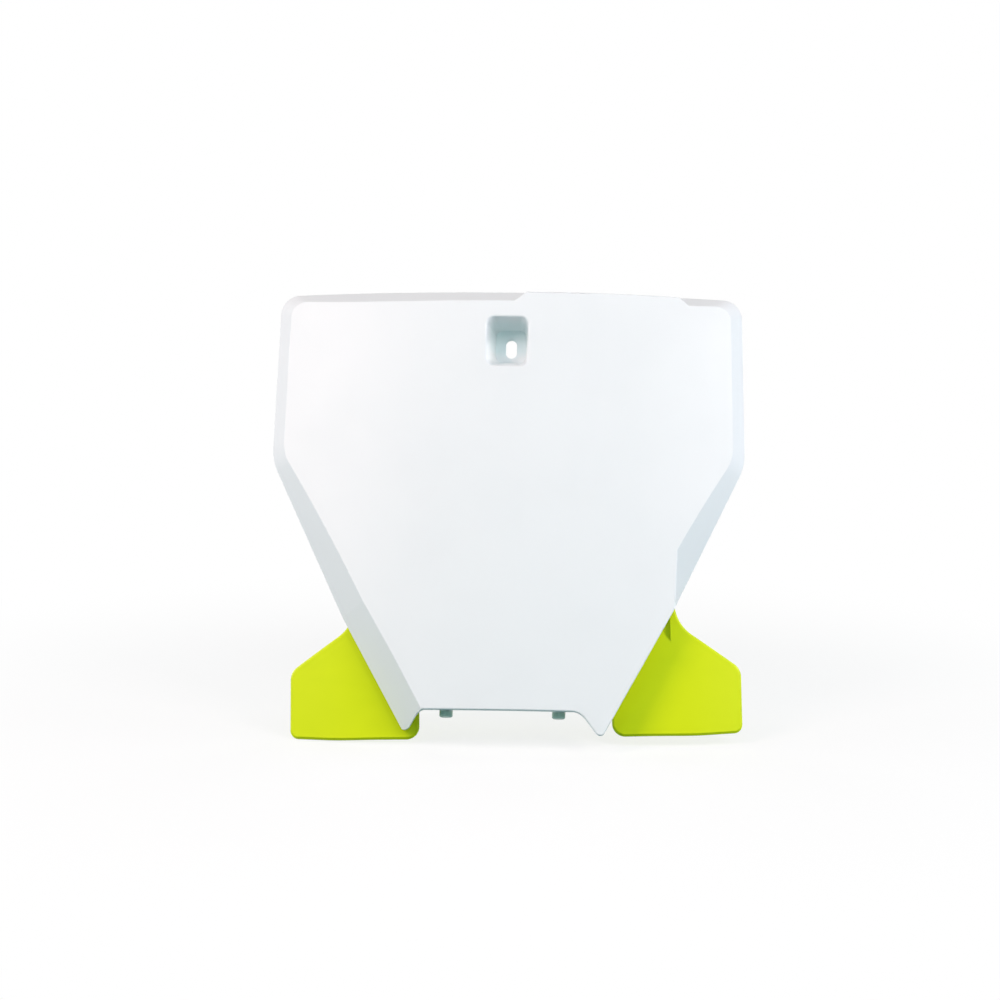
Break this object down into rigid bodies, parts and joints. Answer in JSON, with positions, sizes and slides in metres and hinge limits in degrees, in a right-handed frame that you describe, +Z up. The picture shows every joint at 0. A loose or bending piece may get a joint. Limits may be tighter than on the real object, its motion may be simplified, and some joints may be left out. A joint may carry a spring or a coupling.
{
  "type": "racing number board",
  "caption": "White tray-shaped front number board with a recessed top screw seat, lower locating lugs and a yellow winged carrier screwed on behind.",
  "frame": {"origin": "middle of the top screw slot, on the floor of its recess", "axes": "+X to the right as the board is seen from the front, -Y forwards, +Z up, with the board leaning back as it does on the fork"},
  "size_m": [0.2708, 0.1152, 0.2496],
  "materials": {
    "white_plastic": "satin moulded",
    "yellow_plastic": "satin moulded, fluorescent yellow",
    "screw_steel": "zinc plated"
  },
  "bodies": {
    "root": {"number_plate": "white_plastic", "wing_carrier": "yellow_plastic", "wing_screws": "screw_steel"}
  },
  "joints": []
}
